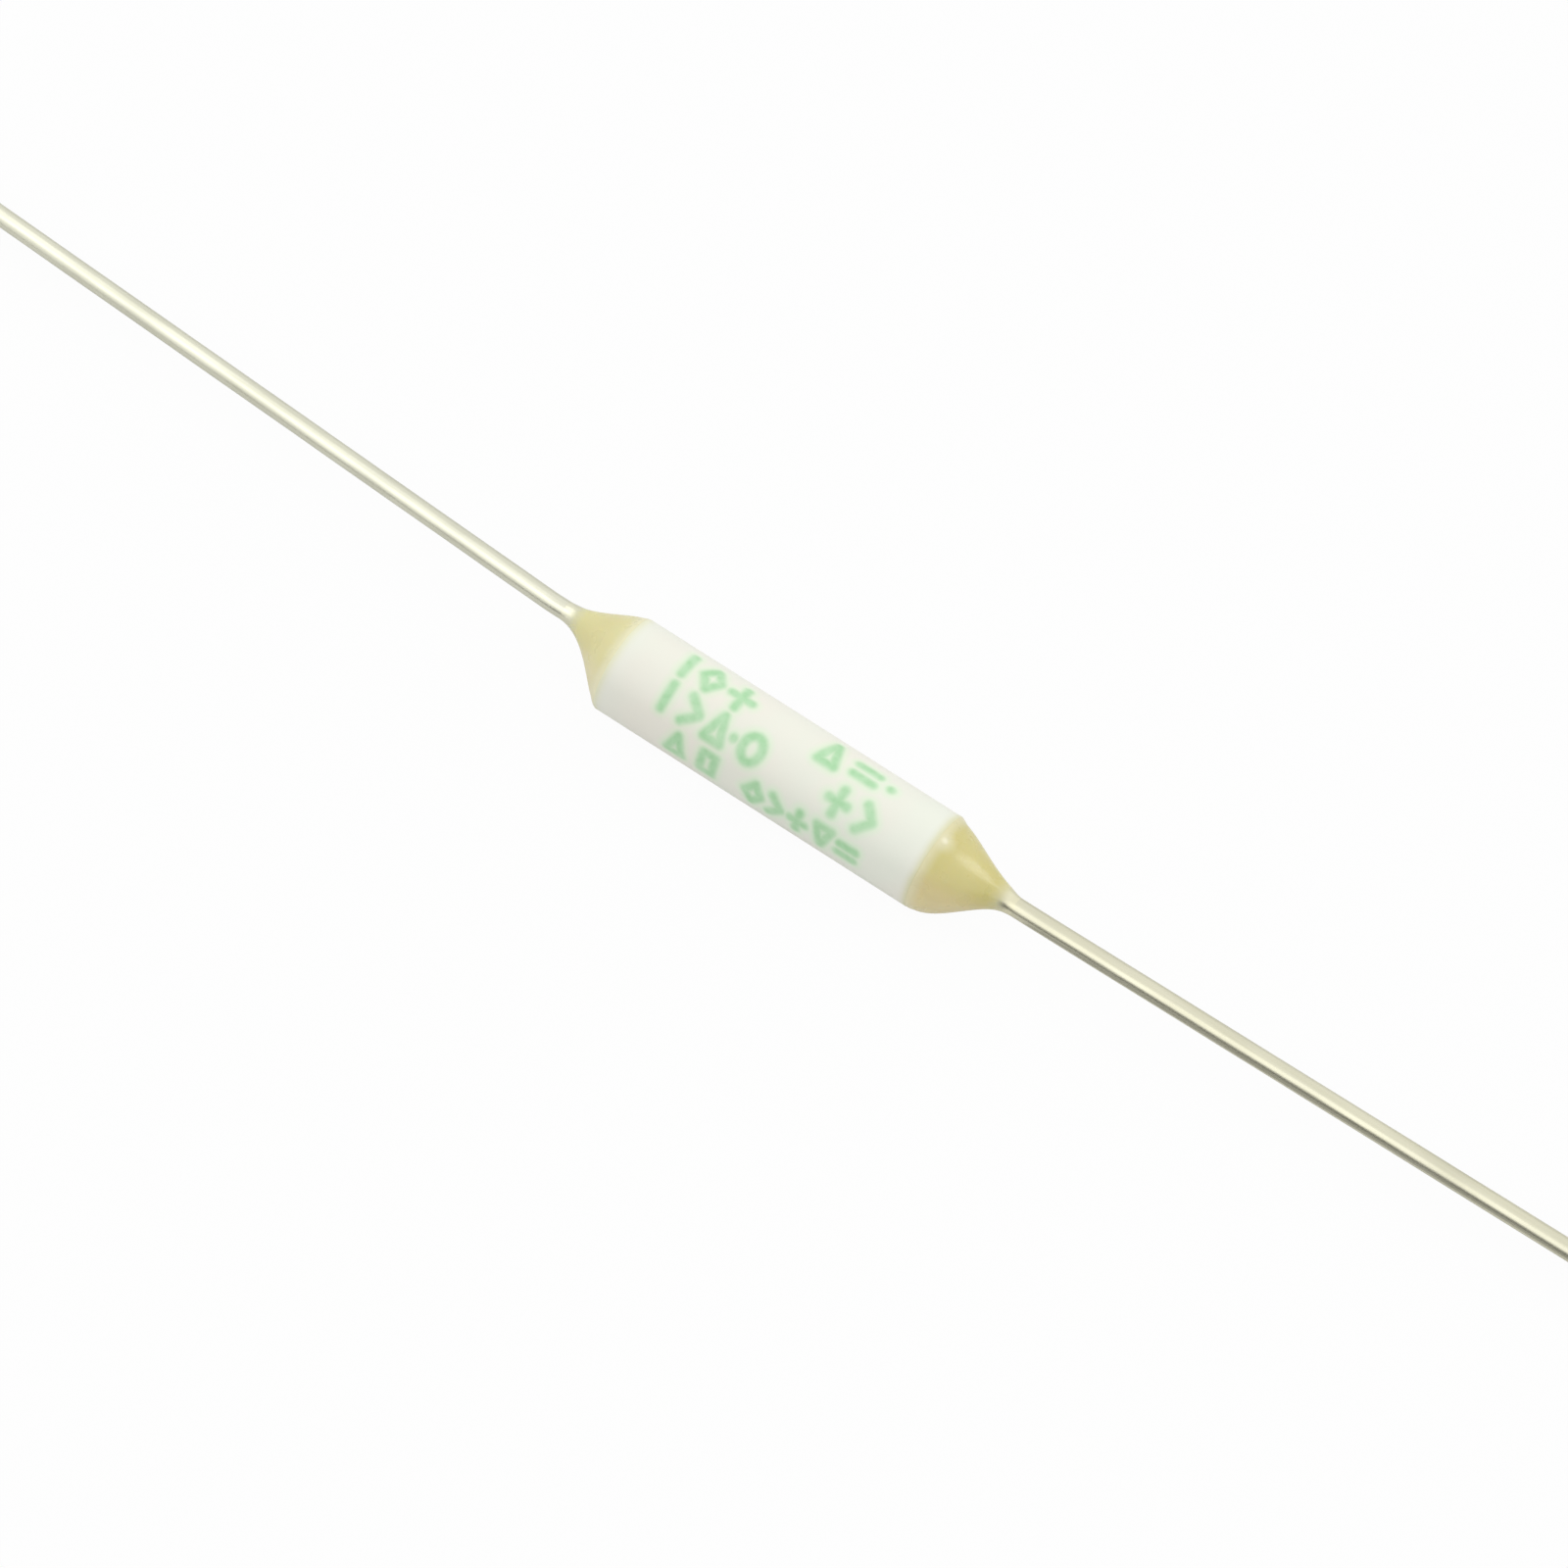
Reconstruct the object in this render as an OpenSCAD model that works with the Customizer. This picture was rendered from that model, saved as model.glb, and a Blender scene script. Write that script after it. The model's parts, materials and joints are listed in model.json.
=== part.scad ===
// Thermal fuse (one-shot thermal cut-off), axial type: a ceramic tube with a lead wire out of
// each end, resin seals in both mouths, and a fusible link coated with flux between the leads.
// The tube's axis is X, the origin is the middle of the tube, and Z is up. The fuse lies at rest
// on the tube's underside and on both lead tips.

/* [Ceramic tube] */
// Outside diameter of the tube
tube_d = 2.5; // [2.2:0.1:3.5]
// Diameter of the bore through the tube
bore_d = 1.6; // [1.5:0.05:1.8]
// Length of the tube
tube_l = 9; // [8:0.5:14]
// Rounding of the tube's outer edges
rim_r = 0.05; // [0.03:0.01:0.14]

/* [Lead wires] */
// Diameter of both lead wires
lead_d = 0.5; // [0.4:0.05:0.6]
// Length of a lead's straight outer stretch
lead_straight = 26; // [15:1:40]
// Distance from the start of a lead's slight bend to the corner of its two directions
bend_reach = 0.2; // [0.1:0.05:0.5]
// How far off the tube's axis the left lead lies inside the tube
left_offset = 0.36; // [0:0.01:0.38]
// How far off the tube's axis the right lead lies inside the tube
right_offset = 0.14; // [0:0.01:0.38]
// Angle at which the left lead leaves sideways, in degrees
left_splay_angle = 3.35; // [1:0.05:5]
// Angle at which the right lead leaves sideways, in degrees
right_splay_angle = 1.4; // [1:0.05:5]

/* [Fusible link] */
// Diameter of the low-melting alloy link
link_d = 0.63; // [0.6:0.01:0.64]
// Length of each lead end that the link holds
link_grip = 0.4; // [0.2:0.05:0.5]

/* [Flux] */
// Air space between the flux coat and the bore
flux_gap = 0.08; // [0.05:0.01:0.09]
// Air space between each end of the flux coat and the seal's plug
flux_end_gap = 0.3; // [0.1:0.05:0.6]
// Length of the flux coat past each end of the link
flux_end_l = 0.4; // [0.2:0.05:0.5]
// Rounding of the flux coat's ends
flux_edge = 0.3; // [0.1:0.05:0.4]

/* [End seals] */
// Depth to which the resin fills each mouth of the bore
plug_l = 1.2; // [0.6:0.1:1.3]
// Length of the left seal outside the tube, to where its taper has sunk into the lead
left_seal_l = 2.1; // [1.6:0.05:3]
// Length of the right seal outside the tube, to where its taper has sunk into the lead
right_seal_l = 2.4; // [1.6:0.05:3]
// Fullness of the left seal: at 1 its shoulder is as long as its foot, and below 1 it is shorter
left_fullness = 0.72; // [0.6:0.02:1.3]
// Fullness of the right seal
right_fullness = 0.92; // [0.6:0.02:1.3]
// How far the left seal's shoulder leans to the side that the leads splay to
left_shoulder_lean = 0.05; // [-0.1:0.01:0.1]
// How far the right seal's shoulder leans to that side
right_shoulder_lean = -0.08; // [-0.1:0.01:0.1]
// How far the left seal's foot leans to that side
left_foot_lean = -0.02; // [-0.1:0.01:0.1]
// How far the right seal's foot leans to that side
right_foot_lean = 0.08; // [-0.1:0.01:0.1]

/* [Hidden] */
$fn = 64;

// The taper of a seal ends inside its lead, at this share of the lead's radius
tip_share = 0.8;
// The two leans of a seal swell and fade along its taper, by these powers of the share along it:
// below 1 a lean is greatest near the tube, and above 1 near the lead
shoulder_power = 0.7;
foot_power = 2;
// Rings along a seal's taper, and sides around it
taper_rings = 20;
taper_sides = 56;
// How far a cutting or joining solid runs past the face it has to cross
over = 0.1;

// The seals' taper starts at the inner edge of the tube's rounding
shoulder_r = tube_d / 2 - rim_r;
tip_r = tip_share * lead_d / 2;
// The leads slope down until their tips lie level with the underside of the tube
lead_drop = (tube_d - lead_d) / 2;
droop_angle = asin(lead_drop / (lead_straight + bend_reach));
// The flux coat fills the tube between the plugs but for its air spaces, the link fills the
// coat but for its ends, and the link bridges the span between the leads' inner ends
flux_l = tube_l - 2 * (plug_l + flux_end_gap);
link_l = flux_l - 2 * flux_end_l;
link_span = link_l - 2 * link_grip;

// ---- shapes that repeat ----

// A rod along X, centred on the origin, with rounded edges at both ends
module rounded_rod(d, l, edge) {
    rotate([0, 90, 0])
        rotate_extrude() {
            translate([0, -l / 2]) square([d / 2 - edge, l]);
            translate([0, edge - l / 2]) square([d / 2, l - 2 * edge]);
            for (end = [-1, 1])
                intersection() {
                    translate([d / 2 - edge, end * (l / 2 - edge)]) circle(edge);
                    translate([0, -l / 2]) square([d / 2, l]);
                }
        }
}

// A plain round rod along X, from x = from to x = to, on the line y = offset
module rod_along(d, from, to, offset = 0) {
    translate([from, offset, 0])
        rotate([0, 90, 0]) cylinder(d = d, h = to - from);
}

// The piece of wire that runs inside the tube, past x = to if a length is given
module lead_inside(offset, to, past = 0) {
    rod_along(lead_d, link_span / 2, to + past, offset);
}

// A lead towards +X. It leaves the seal at x = exit_x, turns through a slight bend, and
// runs straight to its tip, splayed sideways and drooping to the ground.
module lead(offset, splay_angle, exit_x) {
    turn_angle = acos(cos(splay_angle) * cos(droop_angle));
    bend_r = bend_reach / tan(turn_angle / 2);
    roll_angle = atan2(-sin(droop_angle), sin(splay_angle) * cos(droop_angle));
    lead_inside(offset, exit_x);
    translate([exit_x, offset, 0])
        rotate([roll_angle, 0, 0]) {
            translate([0, bend_r, 0])
                rotate([0, 0, -90])
                    rotate_extrude(angle = turn_angle)
                        translate([bend_r, 0]) circle(d = lead_d);
            translate([bend_r * sin(turn_angle), bend_r * (1 - cos(turn_angle)), 0])
                rotate([0, 0, turn_angle])
                    rod_along(lead_d, 0, lead_straight);
        }
}

// Share of a seal's shoulder that is left at u, from 1 at the tube (u = 0) to 0 at the tip (u = 1)
function taper(u, fullness) = (1 + cos(180 * pow(u, fullness))) / 2;

function taper_radius(u, fullness) = tip_r + (shoulder_r - tip_r) * taper(u, fullness);

// The taper's middle moves from the tube's axis to the lead's as it narrows, and leans aside
function taper_middle(u, fullness, offset, shoulder_lean, foot_lean) =
    offset * (1 - taper(u, fullness))
    + shoulder_lean * sin(180 * pow(u, shoulder_power))
    + foot_lean * sin(180 * pow(u, foot_power));

// The free resin outside the tube, towards +X
module seal_taper(offset, seal_l, fullness, shoulder_lean, foot_lean) {
    points = [
        for (ring = [0 : taper_rings], side = [0 : taper_sides - 1])
            let (
                u = ring / taper_rings,
                r = taper_radius(u, fullness),
                middle = taper_middle(u, fullness, offset, shoulder_lean, foot_lean),
                a = 360 * side / taper_sides
            )
            [tube_l / 2 + u * seal_l, middle + r * cos(a), r * sin(a)]
    ];
    base = [for (side = [0 : taper_sides - 1]) side];
    tip = [for (side = [taper_sides - 1 : -1 : 0]) taper_rings * taper_sides + side];
    walls = [
        for (ring = [0 : taper_rings - 1], side = [0 : taper_sides - 1])
            let (
                next = (side + 1) % taper_sides,
                a = ring * taper_sides + side,
                b = ring * taper_sides + next,
                c = b + taper_sides,
                d = a + taper_sides
            )
            for (triangle = [[a, c, b], [a, d, c]]) triangle
    ];
    polyhedron(points = points, faces = concat([base, tip], walls));
}

// A seal towards +X: the plug in the mouth and the taper outside, round the lead
module end_seal(offset, seal_l, fullness, shoulder_lean, foot_lean) {
    difference() {
        union() {
            seal_taper(offset, seal_l, fullness, shoulder_lean, foot_lean);
            rod_along(bore_d, tube_l / 2 - plug_l, tube_l / 2 + over);
        }
        lead_inside(offset, tube_l / 2 + seal_l, over);
    }
}

// ---- one module for each piece ----

module ceramic_tube() {
    color("ivory")
        difference() {
            rounded_rod(tube_d, tube_l, rim_r);
            rod_along(bore_d, -tube_l / 2 - over, tube_l / 2 + over);
        }
}

module lead_wire_left() {
    color("silver")
        mirror([1, 0, 0]) lead(left_offset, left_splay_angle, tube_l / 2 + left_seal_l);
}

module lead_wire_right() {
    color("silver")
        lead(right_offset, right_splay_angle, tube_l / 2 + right_seal_l);
}

// The link bridges the gap between the leads' inner ends, and holds both ends
module link_rod() {
    slant_angle = atan2(right_offset - left_offset, link_span);
    translate([0, (left_offset + right_offset) / 2, 0])
        rotate([0, 0, slant_angle]) rod_along(link_d, -link_l / 2, link_l / 2);
}

module both_leads_inside() {
    mirror([1, 0, 0]) lead_inside(left_offset, tube_l / 2);
    lead_inside(right_offset, tube_l / 2);
}

module fusible_link() {
    color("gray")
        difference() {
            link_rod();
            both_leads_inside();
        }
}

module flux_coat() {
    color("goldenrod")
        difference() {
            rounded_rod(bore_d - 2 * flux_gap, flux_l, flux_edge);
            link_rod();
            both_leads_inside();
        }
}

module end_seal_left() {
    color("khaki")
        mirror([1, 0, 0])
            end_seal(
                left_offset, left_seal_l, left_fullness, left_shoulder_lean, left_foot_lean
            );
}

module end_seal_right() {
    color("khaki")
        end_seal(
            right_offset, right_seal_l, right_fullness, right_shoulder_lean, right_foot_lean
        );
}

ceramic_tube();
lead_wire_left();
lead_wire_right();
fusible_link();
flux_coat();
end_seal_left();
end_seal_right();
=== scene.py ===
"""Looks of the thermal fuse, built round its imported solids.

A printed ceramic tube, resin seals and tinned leads, on a pale floor under soft light.
Lengths are in metres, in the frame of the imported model, and colours are linear.
"""

import json
import math
from collections import namedtuple

import bpy
from mathutils import Matrix, Vector, noise


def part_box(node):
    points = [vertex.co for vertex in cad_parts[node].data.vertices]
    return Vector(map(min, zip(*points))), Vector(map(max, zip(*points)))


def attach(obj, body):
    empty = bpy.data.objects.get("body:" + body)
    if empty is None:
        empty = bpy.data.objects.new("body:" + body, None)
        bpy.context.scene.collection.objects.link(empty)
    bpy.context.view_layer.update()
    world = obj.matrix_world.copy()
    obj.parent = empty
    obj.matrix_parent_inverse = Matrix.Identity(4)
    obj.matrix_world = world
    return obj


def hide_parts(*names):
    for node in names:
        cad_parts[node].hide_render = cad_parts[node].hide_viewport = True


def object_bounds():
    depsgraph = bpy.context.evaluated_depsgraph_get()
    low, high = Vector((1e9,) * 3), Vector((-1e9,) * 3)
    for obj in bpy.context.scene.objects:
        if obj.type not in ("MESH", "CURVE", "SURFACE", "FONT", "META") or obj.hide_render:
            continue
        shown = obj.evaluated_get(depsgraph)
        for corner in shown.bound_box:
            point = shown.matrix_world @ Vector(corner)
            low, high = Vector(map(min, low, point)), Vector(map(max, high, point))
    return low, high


bpy.ops.wm.read_factory_settings(use_empty=True)
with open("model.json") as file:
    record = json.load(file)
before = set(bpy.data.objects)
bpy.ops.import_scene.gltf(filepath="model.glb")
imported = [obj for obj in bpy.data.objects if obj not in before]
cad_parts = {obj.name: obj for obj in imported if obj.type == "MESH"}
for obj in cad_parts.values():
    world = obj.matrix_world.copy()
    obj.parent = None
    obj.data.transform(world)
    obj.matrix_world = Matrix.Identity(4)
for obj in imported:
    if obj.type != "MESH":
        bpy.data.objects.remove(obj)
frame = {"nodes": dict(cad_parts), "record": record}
cad_box = [list(corner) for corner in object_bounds()]
scene = bpy.context.scene

MM = 0.001
X_AXIS = Vector((1, 0, 0))
BODY = "root"
# How far apart in the noise the waves of two neighbouring seeds lie
SEED_STEP = Vector((1, 2.7, -1.3))

# ---- camera ----
# Degrees round from the near side (-Y) towards +X, and degrees up
CAMERA_AZIMUTH = 34.5
CAMERA_ELEVATION = 67.8
LENS = 180
SENSOR = 36
# Width of the view at the tube
VIEW_WIDTH = 37.2 * MM
# Where the camera aims, from the middle of the tube: to the view's right, and up
AIM_RIGHT = 0.14 * MM
AIM_UP = -0.51 * MM
NEAREST_SEEN = 0.01
FARTHEST_SEEN = 10

# ---- tube ----
BORE_R = 0.8 * MM
RIM_ROUNDING = 0.05 * MM
# The rounding wavers up and down by this share of it. Its waves are read from a noise round a
# circle of radius 1, at this x and its opposite for the two ends of the tube.
RIM_WAVER = 0.14
RIM_WAVE_SIZE = 0.35
RIM_WAVE_X = 4
RIM_SEED = 3
TUBE_SIDES = 192
RIM_STEPS = 8
BARREL_STEPS = 24

# ---- leads ----
LEAD_SIDES = 48
INNER_STEPS = 12
BEND_STEPS = 10
LEAD_STEP = 0.15 * MM
END_ROUNDING = 0.03 * MM
# Depth of the plating's waves, the length along the wire that counts as much as its radius,
# the size of the waves in these units, and the level above which the wire is left round
PLATING_WAVE = 0.003 * MM
PLATING_STRETCH = 1.6 * MM
PLATING_WAVE_SIZE = 0.9
PLATING_LEVEL = 0.4

# ---- seals ----
TIP_SHARE = 0.8
SHOULDER_POWER = 0.7
FOOT_POWER = 2
# Rows along the taper, and the power that crowds them towards the tube
SEAL_ROWS = 64
SEAL_CROWDING = 1.3
# Height of the taper's lumps as a share of its radius, and their size
SEAL_LUMP = 0.012
LUMP_SIZE = 0.9 * MM
LUMP_SEED = 5
# The resin climbs the tube's rim by so many of its steps, sags by this share of its rounding at
# the tube's end, and its foot there reaches this far out
CLIMB_STEPS = 5
CLIMB_SAG = 0.4
CLIMB_REACH = 0.2 * MM
# The resin turns along the wire in a fillet, which thins out between these shares of its length
# and ends just under the wire's surface
TAIL_STARTS = 0.77
TAIL_ENDS = 0.97
TAIL_SINK = 0.006 * MM
# Share of a seal's length past which the wire shows through its thin resin
WATERLINE = 0.84

# A seal's side, its length and fullness, how far its shoulder and its foot lean towards +Y, and
# the softness of its fillet along the wire
Seal = namedtuple("Seal", "side length fullness shoulder_lean foot_lean fillet")
SEALS = {
    "left": Seal(
        side=-1, length=2.1 * MM, fullness=0.72,
        shoulder_lean=0.05 * MM, foot_lean=-0.02 * MM, fillet=0.05 * MM,
    ),
    "right": Seal(
        side=1, length=2.4 * MM, fullness=0.92,
        shoulder_lean=-0.08 * MM, foot_lean=0.08 * MM, fillet=0.075 * MM,
    ),
}

# A small swell of the right seal's surface beside the rim, with a painted highlight on it: its
# place, reach and height, and the pale colour of the painted highlight
SWELL_AND_HIGHLIGHT_PLACE = Vector((4.625, 0.175, 1.185)) * MM
SWELL_AND_HIGHLIGHT_REACH = 0.13 * MM
SWELL_HEIGHT = 0.02 * MM
PAINTED_HIGHLIGHT_COLOUR = (1.0, 0.96, 0.70)

# ---- print ----
# How far from the middle of a stroke its ink is full and where it ends, and the same for the
# faint stain (halo) round it
INK_CORE = 0.03 * MM
INK_EDGE = 0.2 * MM
HALO_CORE = 0.12 * MM
HALO_EDGE = 0.36 * MM
# How high the stain stands on the tube, how much higher the full ink stands, and how deep the
# underside of both lies in the tube
HALO_HEIGHT = 0.0008 * MM
INK_HEIGHT = 0.005 * MM
INK_SINK = 0.001 * MM
INK_CELL = 0.025 * MM
CURVE_STEPS = 24

# Rows of marks: angle of the row's middle round the tube, from the top towards -Y, the row's
# height in mm, and each mark's shape, middle in mm along the tube, and width in mm
MARK_ROWS = [
    (-23, 0.68, [("bar", -2.88, 0.1), ("diamond", -2.2, 0.5), ("plus", -1.36, 0.56)]),
    (22, 0.66, [
        ("bar", -2.86, 0.1), ("chevron", -2.12, 0.36), ("triangle", -1.4, 0.46),
        ("dot", -0.95, 0.1), ("ring", -0.43, 0.5),
    ]),
    (67, 0.56, [
        ("triangle", -2.15, 0.42), ("box", -1.26, 0.34), ("diamond", 0.06, 0.44),
        ("chevron", 0.7, 0.3), ("plus", 1.33, 0.4), ("wedge", 2.02, 0.4), ("dashes", 2.72, 0.44),
    ]),
    (-26, 0.7, [("triangle", 1.2, 0.46), ("dashes", 2.16, 0.56), ("dot", 2.86, 0.1)]),
    (20, 0.66, [("plus", 2.0, 0.5), ("chevron", 2.82, 0.3)]),
]

# ---- materials ----
# How far the end of a film of resin wavers, and how many waves a metre it has
FILM_WOBBLE = 0.03 * MM
WOBBLE_WAVES = 1600

CERAMIC_WARM = (0.925, 0.905, 0.805)
CERAMIC_COOL = (0.90, 0.925, 0.815)
# Films of resin on the tube: the side, how far each reaches from its rim, and its colour
RIM_FILMS = (
    (-1, 0.3 * MM, (0.86, 0.86, 0.60)),
    (1, 0.28 * MM, (0.76, 0.74, 0.45)),
)
# How well such a film covers the ceramic, from its inner end (0) to the rim (1)
FILM_COVER = ((0.0, 0.0), (0.5, 0.25), (1.0, 0.85))

INK_LIGHT = (0.49, 0.80, 0.48)
INK_DEEP = (0.42, 0.74, 0.41)
NO_STAIN = (1, 1, 1)
FULL_STAIN = (0.91, 1.03, 0.92)

# Painted light makes the underside of a seal paler and pinker: the way in which it faces, and how
# far it takes to be so
PAINTED_LIGHT_WAY = (0, -1, -0.4)
PAINTED_LIGHT_REACH = 0.7 * MM
# How far the pale rim of a seal reaches, and how strong it is
PALE_RIM_REACH = 0.3 * MM
PALE_RIM_SHARE = 0.7
# Subsurface weight of the resin, from its body (0) to its thin rim
RESIN_DEPTH = ((0.0, 0.35), (0.7, 0.0))
# Where the tip's colour starts and is full, before the waterline, and how strong it is
TIP_STARTS = 0.5 * MM
TIP_FULL = 0.1 * MM
TIP_COLOUR_SHARE = 0.8
# Length of the clear stretch in which the wire comes to show
CLEAR_LENGTH = 0.25 * MM
# The paler patch of painted highlight round the swell: its outer and inner reach in swell
# reaches, and how strong it is
HIGHLIGHT_PATCH_OUTER = 3
HIGHLIGHT_PATCH_INNER = 0.5
HIGHLIGHT_PATCH_SHARE = 0.75
# Each resin's underside colour is painted light, which makes the seal paler and pinker underneath
RESINS = {
    "left": {
        "light": (0.81, 0.76, 0.39), "deep": (0.755, 0.695, 0.325),
        "underside": (0.86, 0.79, 0.46), "rim": (0.90, 0.87, 0.60),
        "tip": (0.78, 0.75, 0.50), "wire": (0.76, 0.745, 0.58),
    },
    "right": {
        "light": (0.71, 0.64, 0.265), "deep": (0.64, 0.575, 0.205),
        "underside": (0.80, 0.69, 0.36), "rim": (0.84, 0.80, 0.53),
        "tip": (0.76, 0.71, 0.45), "wire": (0.79, 0.76, 0.55),
    },
}

# Tin: its colours, and how far resin has run onto the wire past the waterline
TINS = {
    "left": {"dull": (0.70, 0.695, 0.56), "bright": (0.76, 0.755, 0.625), "run": 0.25 * MM},
    "right": {"dull": (0.71, 0.69, 0.525), "bright": (0.77, 0.75, 0.59), "run": 0.5 * MM},
}
# What the stains leave of the tin's brightness
STAIN_SHADES = ((0.3, 0.92), (0.6, 1.0))
RUN_COLOUR = (0.72, 0.68, 0.44)
RUN_SHARE = 0.8
# How the streaks and the slow waves of the tin are drawn out: less along the wire than across
STREAK_STRETCH = (0.35, 9, 9)
WAVE_STRETCH = (0.4, 1, 1)

# Sockets of a colour mix node: its factor, its two colours and its result
MIX_FACTOR, MIX_FIRST, MIX_SECOND = 0, 6, 7
MIX_RESULT = 2

# ---- floor, cards and sky ----
FLOOR_HALF_SIZE = 1.5
FLOOR_GREY = 0.82
# Share of plain white that the floor shows to the camera, and in metal and glass
FLOOR_GLOW = 0.95
FLOOR_GLOW_IN_METAL = 0.1
# The dark card stands this far off on the near side: its corners along X and up, and its grey
CARD_DISTANCE = 0.3
CARD_CORNERS = [(-0.19, 0), (0.5, 0), (0.5, 0.25), (0.1, 0.25)]
CARD_GREY = 0.2
# The grey card that lies beside the right lead, seen only in reflections, is a painted shadow of
# the lead on the floor: from, to along X and Y, its height over the floor, and its grey
PAINTED_SHADOW_CARD = (0.0068, 0.045, -0.06, -0.0008)
PAINTED_SHADOW_CARD_LIFT = 0.02 * MM
PAINTED_SHADOW_GREY = 0.45
# The sky that lights the object is dim towards the near side and bright towards the far side
SKY_TOWARDS = (0, 0.55, 0.83)
SKY_DIM = 0.51
SKY_BRIGHT = 0.88

# ---- softboxes: tilt from the top towards -Y, lean towards +X, size in m, and radiance ----
SOFTBOX_DISTANCE = 0.4
SOFTBOXES = {
    "near_softbox": {"tilt": 30, "lean": -12, "size": (0.26, 0.34), "radiance": 0.4},
    "left_softbox": {"tilt": -5, "lean": -42, "size": (0.3, 0.5), "radiance": 0.45},
    "far_window": {"tilt": -50, "lean": 46, "size": (0.14, 0.22), "radiance": 2.0},
}
# Watts that an area lamp of 1 square metre needs for a radiance of 1
AREA_LAMP_POWER = 4

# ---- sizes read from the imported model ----
tube_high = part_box("ceramic_tube")[1]
tube_r = tube_high.z
tube_end = tube_high.x
mounts = {mount["name"]: mount for mount in frame["record"]["mounts"]}
lead_r = mounts["lead_left"]["dims"]["r_mm"] * MM
floor_z = cad_box[0][2]


# ---- meshes ----

def add_piece(name, points, faces, sharp_angle=40):
    """A smooth-shaded object from points and faces, with its sharp edges marked."""
    mesh = bpy.data.meshes.new(name)
    mesh.from_pydata(points, [], faces)
    mesh.update()
    mesh.shade_smooth()
    mesh.set_sharp_from_angle(angle=math.radians(sharp_angle))
    piece = bpy.data.objects.new(name, mesh)
    scene.collection.objects.link(piece)
    return piece


def loft_faces(rows, sides, wrap):
    """Quads between neighbouring rings. With wrap the last ring meets the first, and without it
    both are capped."""
    faces = []
    for row in range(rows if wrap else rows - 1):
        here = row * sides
        there = (row + 1) % rows * sides
        for side in range(sides):
            following = (side + 1) % sides
            faces.append((here + side, here + following, there + following, there + side))
    if not wrap:
        faces.append(tuple(reversed(range(sides))))
        faces.append(tuple(range((rows - 1) * sides, rows * sides)))
    return faces


def loft(name, rings, wrap=False, flip=False, sharp_angle=40):
    """A closed piece through rings that have the same number of points."""
    points = [point for ring in rings for point in ring]
    faces = loft_faces(len(rings), len(rings[0]), wrap)
    if flip:
        faces = [tuple(reversed(face)) for face in faces]
    return add_piece(name, points, faces, sharp_angle)


def wave_at(point, size, seed):
    """Smooth noise from about -1 to 1, whose waves are about size long."""
    return noise.noise(point / size + SEED_STEP * seed)


def on_circle(turn, radius, x, middle_y=0.0):
    """The point of a circle round the X axis at this turn, from +Y towards +Z."""
    return Vector((x, middle_y + radius * math.cos(turn), radius * math.sin(turn)))


def turns(count):
    return [2 * math.pi * step / count for step in range(count)]


def smooth(share):
    """0 to 1 as share goes from 0 to 1, level at both ends."""
    share = min(max(share, 0.0), 1.0)
    return share * share * (3 - 2 * share)


# ---- tube ----

def rim_rounding(turn, side):
    """The rim's rounding varies a little round the tube, and is never above its named size."""
    wave = wave_at(on_circle(turn, 1, RIM_WAVE_X * side), RIM_WAVE_SIZE, RIM_SEED)
    return RIM_ROUNDING * (1 - RIM_WAVER + RIM_WAVER * wave)


def rim_point(turn, side, step):
    """(x, radius) on the rim's rounding. Step runs from 0 at the end face to RIM_STEPS on the
    barrel."""
    rounding = rim_rounding(turn, side)
    slope = math.pi / 2 * step / RIM_STEPS
    x = side * (tube_end - rounding * (1 - math.cos(slope)))
    return x, tube_r - rounding * (1 - math.sin(slope))


def tube_profile(turn):
    """(x, radius) from the bore's left end round the wall and back to the bore's right end."""
    left_rim = [rim_point(turn, -1, step) for step in range(RIM_STEPS + 1)]
    right_rim = [rim_point(turn, 1, step) for step in reversed(range(RIM_STEPS + 1))]
    start = -tube_end + RIM_ROUNDING
    barrel = [
        (start - 2 * start * step / BARREL_STEPS, tube_r) for step in range(1, BARREL_STEPS)
    ]
    return [(-tube_end, BORE_R), *left_rim, *barrel, *right_rim, (tube_end, BORE_R)]


def make_tube():
    profiles = [tube_profile(turn) for turn in turns(TUBE_SIDES)]
    rings = []
    for row in range(len(profiles[0])):
        rings.append([
            on_circle(turn, profile[row][1], profile[row][0])
            for turn, profile in zip(turns(TUBE_SIDES), profiles)
        ])
    return loft("tube_body", rings, wrap=True)


# ---- leads ----

def lead_path(side, mount_name, node):
    """Points along a lead's middle, from its inner end through the slight bend to its tip, and
    how far off the tube's axis it lies inside."""
    mount = mounts[mount_name]
    axis = Vector(mount["axis"]).normalized()
    length = mount["dims"]["length_mm"] * MM
    start = Vector(mount["pos_m"]) - axis * length / 2
    low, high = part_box(node)
    offset = Vector((0, low.y + lead_r, 0))
    inner_x = high.x if side < 0 else low.x
    inner = offset + X_AXIS * inner_x
    outwards = X_AXIS * side
    across = start - offset - X_AXIS * start.x
    reach = across.length / math.hypot(axis.y, axis.z)
    leave = start - axis * reach - outwards * reach
    path = [inner.lerp(leave, step / INNER_STEPS) for step in range(INNER_STEPS)]
    turn_angle = outwards.angle(axis)
    bend_r = reach / math.tan(turn_angle / 2)
    sideways = (axis - outwards * axis.dot(outwards)).normalized()
    for step in range(BEND_STEPS):
        angle = turn_angle * step / BEND_STEPS
        along, aside = bend_r * math.sin(angle), bend_r * (1 - math.cos(angle))
        path.append(leave + outwards * along + sideways * aside)
    steps = round(length / LEAD_STEP)
    path += [start + axis * length * step / steps for step in range(steps + 1)]
    return path, offset.y


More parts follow.
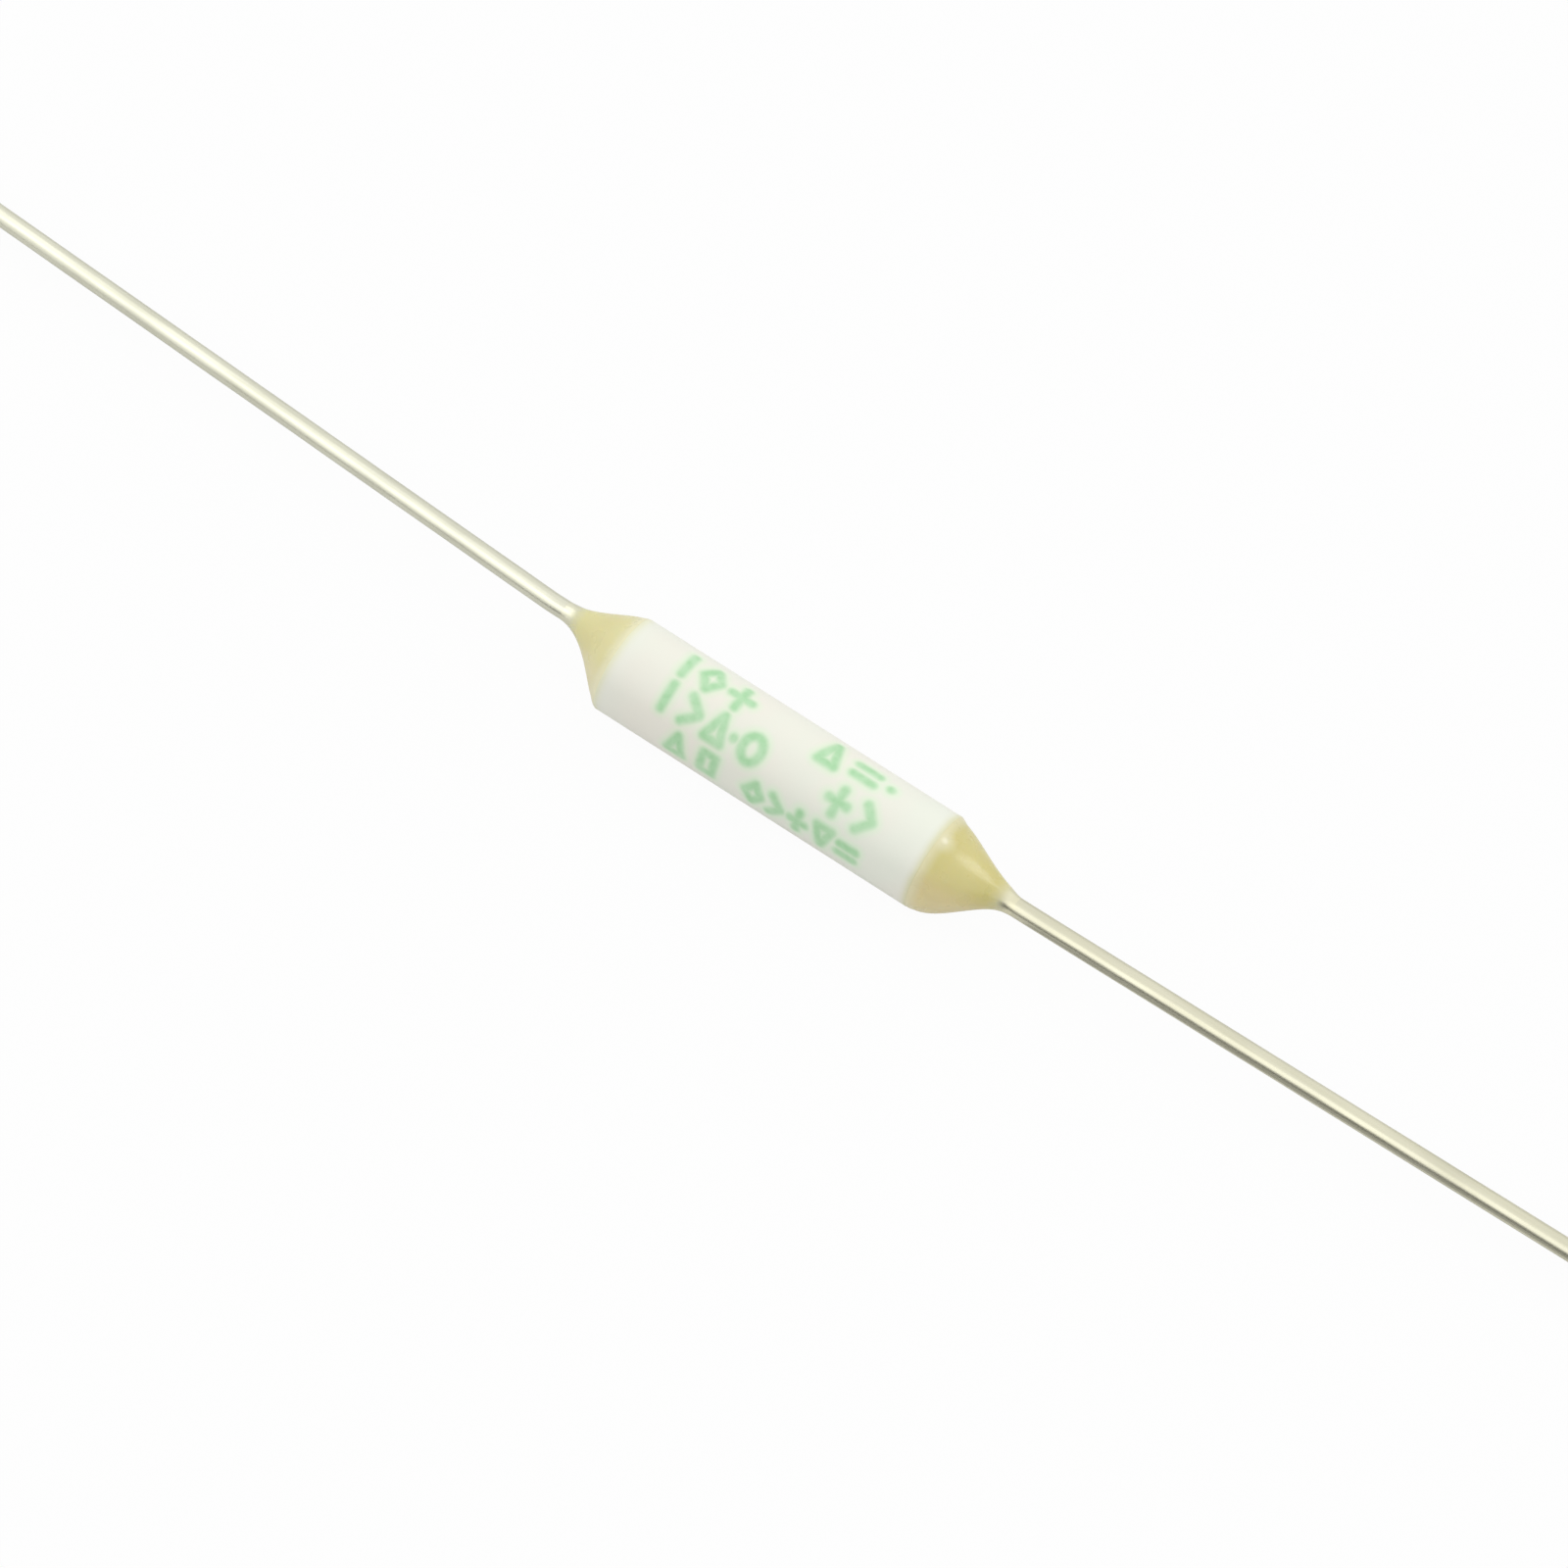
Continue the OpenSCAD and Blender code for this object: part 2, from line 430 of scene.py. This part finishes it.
def lead_ring(middle, along, radius, seed):
    """A ring of points round the lead. Its radius waves a little, as dipped tin does."""
    side_way = Vector((0, 1, 0)).cross(along).normalized()
    up_way = along.cross(side_way)
    ring = []
    for turn in turns(LEAD_SIDES):
        way = side_way * math.cos(turn) + up_way * math.sin(turn)
        place = Vector((middle.x / PLATING_STRETCH, way.y, way.z))
        wave = PLATING_WAVE * (wave_at(place, PLATING_WAVE_SIZE, seed) - PLATING_LEVEL)
        ring.append(middle + way * (radius + min(wave, 0)))
    return ring


def make_lead(side, word, seed):
    """A lead with a rounded tip, and how far off the tube's axis it lies inside."""
    path, offset = lead_path(side, "lead_" + word, "lead_wire_" + word)
    rings = []
    for index, middle in enumerate(path[:-1]):
        along = (path[index + 1] - path[max(index - 1, 0)]).normalized()
        rings.append(lead_ring(middle, along, lead_r, seed))
    along = (path[-1] - path[-2]).normalized()
    for step in range(RIM_STEPS + 1):
        slope = math.pi / 2 * step / RIM_STEPS
        middle = path[-1] - along * END_ROUNDING * (1 - math.sin(slope))
        radius = lead_r - END_ROUNDING * (1 - math.cos(slope))
        rings.append(lead_ring(middle, along, radius, seed))
    return loft("lead_" + word, rings), offset


# ---- seals ----

def seal_surface(seal, offset, turn, share):
    """A point of a seal's free surface: share runs from 0 at the tube to 1 inside the lead."""
    shoulder_r = tube_r - RIM_ROUNDING
    tip_r = TIP_SHARE * lead_r
    width = (1 + math.cos(math.pi * share ** seal.fullness)) / 2
    radius = tip_r + (shoulder_r - tip_r) * width
    middle = (
        offset * (1 - width)
        + seal.shoulder_lean * math.sin(math.pi * share ** SHOULDER_POWER)
        + seal.foot_lean * math.sin(math.pi * share ** FOOT_POWER)
    )
    x = seal.side * (tube_end + share * seal.length)
    point = on_circle(turn, radius, x, middle)
    lump = SEAL_LUMP * wave_at(point, LUMP_SIZE, LUMP_SEED + seal.side)
    lump *= math.sqrt(math.sin(math.pi * share))
    climb = RIM_ROUNDING - CLIMB_SAG * rim_rounding(turn, seal.side)
    climb *= 1 - smooth(share * seal.length / CLIMB_REACH)
    swell = SWELL_HEIGHT * (1 - smooth((point - SWELL_AND_HIGHLIGHT_PLACE).length / SWELL_AND_HIGHLIGHT_REACH))
    point = on_circle(turn, radius * (1 + lump) + climb + swell, x, middle)
    from_wire = Vector((0, point.y - offset, point.z))
    gap = from_wire.length - lead_r
    thinned = smooth((share - TAIL_STARTS) / (TAIL_ENDS - TAIL_STARTS))
    film = (gap + math.hypot(gap, seal.fillet)) / 2 * (1 - thinned) - TAIL_SINK * thinned
    return Vector((x, offset, 0)) + from_wire.normalized() * (lead_r + film)


def make_seal(word, offset):
    """A seal: its bore round the wire, its plug in the tube, its climb of the rim, its taper."""
    seal = SEALS[word]
    side = seal.side
    low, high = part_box("end_seal_" + word)
    plug_x = low.x if side > 0 else high.x
    taper = []
    for row in range(SEAL_ROWS + 1):
        share = TAIL_ENDS * (row / SEAL_ROWS) ** SEAL_CROWDING
        taper.append([seal_surface(seal, offset, turn, share) for turn in turns(TUBE_SIDES)])
    bore = [Vector((plug_x, point.y, point.z)) for point in taper[-1]]
    plug = [
        [on_circle(turn, BORE_R, x) for turn in turns(TUBE_SIDES)]
        for x in (plug_x, side * tube_end)
    ]
    rim = []
    for step in range(CLIMB_STEPS + 1):
        places = [(turn, *rim_point(turn, side, step)) for turn in turns(TUBE_SIDES)]
        rim.append([on_circle(turn, radius, x) for turn, x, radius in places])
    rings = [bore, *plug, *rim, *taper]
    return loft("seal_" + word, rings, wrap=True, flip=side < 0, sharp_angle=60)


# ---- print ----

def circle_line(width, height):
    """An ellipse that fills the mark's box."""
    line = [
        (width / 2 * (1 + math.cos(turn)), height / 2 * (1 + math.sin(turn)))
        for turn in turns(CURVE_STEPS)
    ]
    return [*line, line[0]]


def mark_lines(shape, w, h):
    """The strokes of a plain geometric mark, as polylines in a box w wide and h high."""
    shapes = {
        "bar": [[(w / 2, 0), (w / 2, h)]],
        "dot": [[(w / 2, h / 2), (w / 2, h / 2)]],
        "ring": [circle_line(w, h)],
        "diamond": [[(w / 2, 0), (w, h / 2), (w / 2, h), (0, h / 2), (w / 2, 0)]],
        "triangle": [[(0, 0), (w, 0), (w / 2, h), (0, 0)]],
        "wedge": [[(0, h), (w / 2, 0), (w, h), (0, h)]],
        "box": [[(0, 0), (w, 0), (w, h), (0, h), (0, 0)]],
        "dashes": [[(0, h * 0.25), (w, h * 0.25)], [(0, h * 0.75), (w, h * 0.75)]],
        "chevron": [[(0, h), (w, h / 2), (0, 0)]],
        "plus": [[(w / 2, 0), (w / 2, h)], [(0, h / 2), (w, h / 2)]],
    }
    return shapes[shape]


def distance_to(place, line):
    """Shortest distance in the plane from place to a polyline."""
    shortest = math.inf
    for (x0, y0), (x1, y1) in zip(line, line[1:]):
        dx, dy = x1 - x0, y1 - y0
        length_squared = dx * dx + dy * dy
        share = 0.0
        if length_squared > 0:
            share = ((place[0] - x0) * dx + (place[1] - y0) * dy) / length_squared
            share = min(max(share, 0.0), 1.0)
        distance = math.hypot(place[0] - x0 - share * dx, place[1] - y0 - share * dy)
        shortest = min(shortest, distance)
    return shortest


def grid_span(start, length):
    """The grid lines that a mark's halo crosses, where the mark starts here and is this long."""
    first = math.floor((start - HALO_EDGE) / INK_CELL)
    last = math.ceil((start + length + HALO_EDGE) / INK_CELL)
    return range(first, last + 1)


def note_mark(distances, shape, x, arc, width, height):
    """Notes for each grid point near a mark how far its nearest stroke is."""
    lines = mark_lines(shape, width, height)
    left, low = x - width / 2, arc - height / 2
    for column in grid_span(left, width):
        for row in grid_span(low, height):
            place = (column * INK_CELL - left, row * INK_CELL - low)
            distance = min(distance_to(place, line) for line in lines)
            distances[column, row] = min(distance, distances.get((column, row), math.inf))


def print_face(column, row):
    return [(column, row), (column + 1, row), (column + 1, row + 1), (column, row + 1)]


def make_print():
    """The ink and its halo, as one thin skin of small cells round the tube, closed underneath."""
    distances = {}
    for angle, height, marks in MARK_ROWS:
        arc = -math.radians(angle) * tube_r
        for shape, x, width in marks:
            note_mark(distances, shape, x * MM, arc, width * MM, height * MM)
    cells = [
        print_face(*place) for place in sorted(distances)
        if all(distances.get(corner, math.inf) < HALO_EDGE for corner in print_face(*place))
    ]
    corners = sorted({corner for cell in cells for corner in cell})
    number = {corner: index for index, corner in enumerate(corners)}
    inks, halos = [
        [smooth((edge - distances[corner]) / (edge - core)) for corner in corners]
        for edge, core in ((INK_EDGE, INK_CORE), (HALO_EDGE, HALO_CORE))
    ]
    tops = [HALO_HEIGHT + INK_HEIGHT * ink for ink in inks]
    points = []
    for heights in (tops, [-INK_SINK] * len(inks)):
        for (column, row), height in zip(corners, heights):
            turn = math.pi / 2 - row * INK_CELL / tube_r
            points.append(on_circle(turn, tube_r + height, column * INK_CELL))
    below = len(corners)
    upper = [[number[corner] for corner in cell] for cell in cells]
    lower = [[below + corner for corner in reversed(cell)] for cell in upper]
    edges = {edge for cell in upper for edge in zip(cell, cell[1:] + cell[:1])}
    walls = [(b, a, below + a, below + b) for a, b in sorted(edges) if (b, a) not in edges]
    piece = add_piece("green_print", points, upper + lower + walls)
    for name, values in (("ink", inks), ("halo", halos)):
        attribute = piece.data.attributes.new(name, "FLOAT", "POINT")
        attribute.data.foreach_set("value", values * 2)
    return piece


# ---- materials ----

def new_material(name, **inputs):
    """A material whose shader has these values, with its node tree and shader."""
    material = bpy.data.materials.new(name)
    material.use_nodes = True
    tree = material.node_tree
    shader = tree.nodes["Principled BSDF"]
    for key, value in inputs.items():
        shader.inputs[key.replace("_", " ")].default_value = value
    return material, tree, shader


def feed(tree, value, target):
    """Links a socket to the target, or gives the target a plain number or colour."""
    if isinstance(value, bpy.types.NodeSocket):
        tree.links.new(value, target)
    elif isinstance(value, tuple):
        target.default_value = (*value, 1)
    else:
        target.default_value = value


def arithmetic(tree, operation, *values, clamp=False):
    """The result of a sum over sockets or numbers."""
    node = tree.nodes.new("ShaderNodeMath")
    node.operation = operation
    node.use_clamp = clamp
    for value, target in zip(values, node.inputs):
        feed(tree, value, target)
    return node.outputs[0]


def noise_at(tree, waves, detail=3.0, stretch=(1, 1, 1)):
    """A noise texture in the piece's own space, with so many waves a metre."""
    place = tree.nodes.new("ShaderNodeTexCoord")
    mapping = tree.nodes.new("ShaderNodeMapping")
    mapping.inputs["Scale"].default_value = stretch
    texture = tree.nodes.new("ShaderNodeTexNoise")
    texture.inputs["Scale"].default_value = waves
    texture.inputs["Detail"].default_value = detail
    tree.links.new(place.outputs["Object"], mapping.inputs["Vector"])
    tree.links.new(mapping.outputs["Vector"], texture.inputs["Vector"])
    return texture.outputs["Fac"]


def ramp(tree, value, *stops):
    """A colour ramp over value. Each stop is (place, colour or grey)."""
    node = tree.nodes.new("ShaderNodeValToRGB")
    elements = node.color_ramp.elements
    while len(elements) < len(stops):
        elements.new(0.5)
    for element, (place, colour) in zip(elements, stops):
        element.position = place
        shade = colour if isinstance(colour, tuple) else (colour,) * 3
        element.color = (*shade, 1)
    tree.links.new(value, node.inputs["Fac"])
    return node.outputs["Color"]


def spread(tree, value, low, high, margin=0.3):
    """From low to high over a noise, which mostly keeps this margin from 0 and from 1."""
    return ramp(tree, value, (margin, low), (1 - margin, high))


def mix(tree, share, first, second, blend="MIX"):
    """Mixes two colours, each a socket or a plain colour, by a socket or a number."""
    node = tree.nodes.new("ShaderNodeMix")
    node.data_type = "RGBA"
    node.blend_type = blend
    feed(tree, share, node.inputs[MIX_FACTOR])
    feed(tree, first, node.inputs[MIX_FIRST])
    feed(tree, second, node.inputs[MIX_SECOND])
    return node.outputs[MIX_RESULT]


def scaled(tree, value, factor):
    return arithmetic(tree, "MULTIPLY", value, factor)


def bump(tree, shader, height, depth, before=None):
    """Relief of this depth on the shader's surface, over an earlier one if there is one."""
    node = tree.nodes.new("ShaderNodeBump")
    node.inputs["Distance"].default_value = depth
    tree.links.new(height, node.inputs["Height"])
    if before:
        tree.links.new(before, node.inputs["Normal"])
    tree.links.new(node.outputs["Normal"], shader.inputs["Normal"])
    return node.outputs["Normal"]


def measure(tree, operation, vector, space="Object"):
    """A number worked out from a point's place in a space and a fixed vector."""
    place = tree.nodes.new("ShaderNodeTexCoord")
    node = tree.nodes.new("ShaderNodeVectorMath")
    node.operation = operation
    node.inputs[1].default_value = vector
    tree.links.new(place.outputs[space], node.inputs[0])
    return node.outputs["Value"]


def fade(tree, value, start, end, wobble=0.0):
    """0 to 1 as the value goes from start to end. With wobble, both places waver by up to so
    much."""
    if wobble:
        waves = noise_at(tree, WOBBLE_WAVES, detail=1)
        value = arithmetic(tree, "MULTIPLY_ADD", waves, 2 * wobble, value)
        start, end = start + wobble, end + wobble
    node = tree.nodes.new("ShaderNodeMapRange")
    node.interpolation_type = "SMOOTHSTEP"
    node.inputs["From Min"].default_value = start
    node.inputs["From Max"].default_value = end
    tree.links.new(value, node.inputs["Value"])
    return node.outputs["Result"]


def ceramic_colour(tree):
    """White ceramic: faint warm and cool clouds, with films of resin that thin away from the
    rims."""
    clouds = noise_at(tree, 420, detail=2)
    colour = spread(tree, clouds, CERAMIC_WARM, CERAMIC_COOL, margin=0.36)
    for side, reach, tint in RIM_FILMS:
        rim = side * tube_end
        along = measure(tree, "DOT_PRODUCT", X_AXIS)
        film = fade(tree, along, rim - side * reach, rim, wobble=FILM_WOBBLE)
        colour = mix(tree, ramp(tree, film, *FILM_COVER), colour, tint)
    return colour


def ceramic_surface(tree, shader):
    """Satin ceramic: fine grain over a slow unevenness."""
    rough = spread(tree, noise_at(tree, 2500), 0.34, 0.46)
    tree.links.new(rough, shader.inputs["Roughness"])
    slow = bump(tree, shader, noise_at(tree, 1100, detail=2), depth=0.004 * MM)
    bump(tree, shader, noise_at(tree, 14000, detail=2), depth=0.0008 * MM, before=slow)


def ceramic_material():
    material, tree, shader = new_material("satin_ceramic", Specular_IOR_Level=0.5)
    tree.links.new(ceramic_colour(tree), shader.inputs["Base Color"])
    ceramic_surface(tree, shader)
    return material


def attribute_value(tree, name):
    node = tree.nodes.new("ShaderNodeAttribute")
    node.attribute_name = name
    return node.outputs["Fac"]


def ink_material():
    """Green ink that has spread a little way into the ceramic round each stroke."""
    material, tree, shader = new_material("stamped_ink", Specular_IOR_Level=0.5)
    full = spread(tree, noise_at(tree, 5200), INK_LIGHT, INK_DEEP, margin=0.32)
    stained = mix(tree, attribute_value(tree, "halo"), NO_STAIN, FULL_STAIN)
    around = mix(tree, 1.0, ceramic_colour(tree), stained, "MULTIPLY")
    worn = spread(tree, noise_at(tree, 2600, detail=1), 0.84, 1.0, margin=0.35)
    share = scaled(tree, attribute_value(tree, "ink"), worn)
    tree.links.new(mix(tree, share, around, full), shader.inputs["Base Color"])
    ceramic_surface(tree, shader)
    return material


def waterline_x(seal):
    """How far from the tube's middle the wire starts to show through this seal."""
    return tube_end + WATERLINE * seal.length


def resin_material(word, light, deep, underside, rim, tip, wire):
    """Glossy cream epoxy that lets light a little way in, with painted light that makes its
    underside paler and pinker, and on the right seal a painted highlight beside the rim. It thins
    out at both ends: paler on the rim, and clear over the last stretch of its tip, where the
    tinned wire shows through."""
    material, tree, shader = new_material(
        "resin_" + word, Specular_IOR_Level=0.5, Coat_Weight=0.3, Coat_Roughness=0.12,
        Subsurface_Scale=0.35 * MM, Subsurface_Radius=(1.0, 0.8, 0.35),
    )
    seal = SEALS[word]
    colour = spread(tree, noise_at(tree, 600, detail=1), deep, light)
    # Painted light: the seal is painted paler and pinker towards its underside
    below = fade(tree, measure(tree, "DOT_PRODUCT", PAINTED_LIGHT_WAY), 0, PAINTED_LIGHT_REACH)
    colour = mix(tree, below, colour, underside)
    along = measure(tree, "DOT_PRODUCT", X_AXIS * seal.side)
    near_rim = fade(tree, along, tube_end + PALE_RIM_REACH, tube_end, wobble=FILM_WOBBLE)
    colour = mix(tree, scaled(tree, near_rim, PALE_RIM_SHARE), colour, rim)
    depth = ramp(tree, near_rim, *RESIN_DEPTH)
    tree.links.new(depth, shader.inputs["Subsurface Weight"])
    wire_starts = waterline_x(seal)
    near_tip = fade(tree, along, wire_starts - TIP_STARTS, wire_starts - TIP_FULL)
    colour = mix(tree, scaled(tree, near_tip, TIP_COLOUR_SHARE), colour, tip)
    clear = fade(tree, along, wire_starts - CLEAR_LENGTH, wire_starts, wobble=FILM_WOBBLE)
    colour = mix(tree, clear, colour, wire)
    tree.links.new(clear, shader.inputs["Metallic"])
    # Painted highlight on the right seal beside the rim: a pale patch in the rim's colour, with a
    # paler spot in its middle
    if seal.side * SWELL_AND_HIGHLIGHT_PLACE.x > 0:
        from_highlight = measure(tree, "DISTANCE", SWELL_AND_HIGHLIGHT_PLACE)
        highlight_patch = fade(tree, from_highlight, HIGHLIGHT_PATCH_OUTER * SWELL_AND_HIGHLIGHT_REACH, HIGHLIGHT_PATCH_INNER * SWELL_AND_HIGHLIGHT_REACH)
        colour = mix(tree, scaled(tree, highlight_patch, HIGHLIGHT_PATCH_SHARE), colour, rim)
        colour = mix(tree, fade(tree, from_highlight, SWELL_AND_HIGHLIGHT_REACH, 0), colour, PAINTED_HIGHLIGHT_COLOUR)
    tree.links.new(colour, shader.inputs["Base Color"])
    rough = spread(tree, noise_at(tree, 1800), 0.24, 0.34)
    tree.links.new(rough, shader.inputs["Roughness"])
    bump(tree, shader, noise_at(tree, 1000, detail=1), depth=0.006 * MM)
    return material


def tin_material(word, dull, bright, run):
    """Dipped tin on copper wire: warm white metal with fine streaks. Resin has run a little way
    onto it."""
    material, tree, shader = new_material("tin_" + word, Metallic=1.0)
    streaks = noise_at(tree, 1000, stretch=STREAK_STRETCH)
    stains = noise_at(tree, 350)
    metal = spread(tree, streaks, dull, bright)
    colour = mix(tree, 1.0, metal, ramp(tree, stains, *STAIN_SHADES), "MULTIPLY")
    seal = SEALS[word]
    wire_starts = waterline_x(seal)
    along = measure(tree, "DOT_PRODUCT", X_AXIS * seal.side)
    film = fade(tree, along, wire_starts + run, wire_starts - run, wobble=FILM_WOBBLE)
    colour = mix(tree, scaled(tree, film, RUN_SHARE), colour, RUN_COLOUR)
    tree.links.new(colour, shader.inputs["Base Color"])
    tree.links.new(spread(tree, stains, 0.34, 0.27), shader.inputs["Roughness"])
    waves = noise_at(tree, 1500, detail=1, stretch=WAVE_STRETCH)
    slow = bump(tree, shader, waves, depth=0.006 * MM)
    bump(tree, shader, streaks, depth=0.0008 * MM, before=slow)
    return material


def clouded_material(name, waves, dark, pale, roughnesses, relief, **inputs):
    """A material whose colour, roughness and relief all follow one noise."""
    material, tree, shader = new_material(name, **inputs)
    clouds = noise_at(tree, waves)
    tree.links.new(spread(tree, clouds, dark, pale), shader.inputs["Base Color"])
    tree.links.new(spread(tree, clouds, *roughnesses), shader.inputs["Roughness"])
    bump(tree, shader, clouds, depth=relief)
    return material


def alloy_material():
    """Low-melting alloy: grey, grainy and dull."""
    return clouded_material(
        "grainy_alloy", waves=6000, dark=(0.55, 0.55, 0.54), pale=(0.72, 0.72, 0.71),
        roughnesses=(0.5, 0.36), relief=0.003 * MM, Metallic=1.0,
    )


def flux_material():
    """Amber rosin flux, glassy with cloudy streaks."""
    return clouded_material(
        "cloudy_flux", waves=1500, dark=(0.50, 0.29, 0.07), pale=(0.68, 0.46, 0.15),
        roughnesses=(0.12, 0.26), relief=0.01 * MM, Coat_Weight=0.4,
    )


# ---- stage, lights and camera ----

def background_share(tree, camera_share, other_share):
    """A value that is camera_share for camera rays, other_share for glossy and transmission
    rays, and 0 for all others."""
    path = tree.nodes.new("ShaderNodeLightPath")
    total = 0
    for ray, share in (
        ("Is Camera Ray", camera_share),
        ("Is Glossy Ray", other_share),
        ("Is Transmission Ray", other_share),
    ):
        total = arithmetic(tree, "MULTIPLY_ADD", path.outputs[ray], share, total, clamp=True)
    return total


def blend_shaders(tree, share, first, second, out):
    """Feeds the output with a blend of two shaders: share 0 is the first, 1 the second."""
    blend = tree.nodes.new("ShaderNodeMixShader")
    tree.links.new(share, blend.inputs[0])
    tree.links.new(first.outputs[0], blend.inputs[1])
    tree.links.new(second.outputs[0], blend.inputs[2])
    tree.links.new(blend.outputs[0], out.inputs["Surface"])


def stage_material(name, grey):
    """A plain matt grey, with its node tree, shader and output."""
    material = bpy.data.materials.new(name)
    material.use_nodes = True
    tree = material.node_tree
    tree.nodes.clear()
    matt = tree.nodes.new("ShaderNodeBsdfDiffuse")
    matt.inputs["Color"].default_value = (grey, grey, grey, 1)
    out = tree.nodes.new("ShaderNodeOutputMaterial")
    tree.links.new(matt.outputs[0], out.inputs["Surface"])
    return material, tree, matt, out


def level_corners(x0, x1, y0, y1, z):
    return [(x0, y0, z), (x1, y0, z), (x1, y1, z), (x0, y1, z)]


def make_floor():
    size = FLOOR_HALF_SIZE
    floor = add_piece("floor", level_corners(-size, size, -size, size, floor_z), [(0, 1, 2, 3)])
    material, tree, matt, out = stage_material("pale_floor", FLOOR_GREY)
    glow = tree.nodes.new("ShaderNodeEmission")
    glow.inputs["Color"].default_value = (1, 1, 1, 1)
    share = background_share(tree, FLOOR_GLOW, FLOOR_GLOW_IN_METAL)
    blend_shaders(tree, share, matt, glow, out)
    floor.data.materials.append(material)


def make_card(name, corners, grey):
    """A card that only the reflections show: it draws a dark line along the leads."""
    card = add_piece(name, corners, [tuple(range(len(corners)))])
    card.data.materials.append(stage_material(name, grey)[0])
    card.visible_camera = False
    card.visible_diffuse = False
    card.visible_shadow = False


def make_cards():
    upright = [(x, -CARD_DISTANCE, floor_z + z) for x, z in CARD_CORNERS]
    make_card("dark_card", upright, CARD_GREY)
    # Painted shadow: a grey card, seen only in reflections, darkens the floor beside the right
    # lead as the lead's shadow would
    make_card("painted_shadow_card", level_corners(*PAINTED_SHADOW_CARD, floor_z + PAINTED_SHADOW_CARD_LIFT), PAINTED_SHADOW_GREY)


def make_world():
    world = bpy.data.worlds.new("studio")
    world.use_nodes = True
    scene.world = world
    tree = world.node_tree
    tree.nodes.clear()
    towards = measure(tree, "DOT_PRODUCT", SKY_TOWARDS, space="Generated")
    sky = tree.nodes.new("ShaderNodeBackground")
    tree.links.new(ramp(tree, towards, (0.0, SKY_DIM), (1.0, SKY_BRIGHT)), sky.inputs["Color"])
    white = tree.nodes.new("ShaderNodeBackground")
    white.inputs["Color"].default_value = (1, 1, 1, 1)
    out = tree.nodes.new("ShaderNodeOutputWorld")
    blend_shaders(tree, background_share(tree, 1, 1), sky, white, out)


def face(away):
    """The turn of a lamp that looks back along away, with its own X level along +X."""
    across = (X_AXIS - away * away.x).normalized()
    up = away.cross(across)
    return Matrix((across, up, away)).transposed().to_quaternion()


def make_softbox(name, tilt, lean, size, radiance):
    """A soft lamp that faces the middle of the tube. A radiance of 1 shines as white."""
    tilt, lean = math.radians(tilt), math.radians(lean)
    away = Vector((
        math.sin(lean), -math.sin(tilt) * math.cos(lean), math.cos(tilt) * math.cos(lean),
    ))
    light = bpy.data.lights.new(name, "AREA")
    light.shape = "RECTANGLE"
    light.size, light.size_y = size
    light.energy = radiance * AREA_LAMP_POWER * size[0] * size[1]
    lamp = bpy.data.objects.new(name, light)
    lamp.location = away * SOFTBOX_DISTANCE
    lamp.rotation_mode = "QUATERNION"
    lamp.rotation_quaternion = face(away)
    lamp.visible_camera = False
    scene.collection.objects.link(lamp)


def make_camera():
    a, e = math.radians(CAMERA_AZIMUTH), math.radians(CAMERA_ELEVATION)
    away = Vector((math.sin(a) * math.cos(e), -math.cos(a) * math.cos(e), math.sin(e)))
    turn = away.to_track_quat("Z", "Y")
    camera = bpy.data.objects.new("camera", bpy.data.cameras.new("camera"))
    camera.data.lens = LENS
    camera.data.sensor_width = SENSOR
    camera.data.clip_start = NEAREST_SEEN
    camera.data.clip_end = FARTHEST_SEEN
    aim = turn @ Vector((AIM_RIGHT, AIM_UP, 0))
    camera.location = aim + away * VIEW_WIDTH * LENS / SENSOR
    camera.rotation_mode = "QUATERNION"
    camera.rotation_quaternion = turn
    scene.collection.objects.link(camera)
    scene.camera = camera


# ---- build ----

def seat(piece, material, slot, *nodes):
    """Gives a piece its material, and seats it in the frame in place of its CAD nodes."""
    piece.data.materials.append(material)
    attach(piece, BODY)
    if nodes:
        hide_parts(*nodes)


scene.view_settings.view_transform = "Standard"
make_camera()
make_floor()
make_cards()
make_world()
for softbox, settings in SOFTBOXES.items():
    make_softbox(softbox, **settings)

seat(make_tube(), ceramic_material(), "white_ceramic", "ceramic_tube")
seat(make_print(), ink_material(), "green_ink")
for word, side, seed in (("left", -1, 11), ("right", 1, 17)):
    lead, lead_offset = make_lead(side, word, seed)
    tin, resin = tin_material(word, **TINS[word]), resin_material(word, **RESINS[word])
    seat(lead, tin, "tinned_copper", "lead_wire_" + word)
    seat(make_seal(word, lead_offset), resin, "sealing_resin", "end_seal_" + word)

for node, material in (("fusible_link", alloy_material()), ("flux_coat", flux_material())):
    for material_slot in frame["nodes"][node].material_slots:
        material_slot.material = material
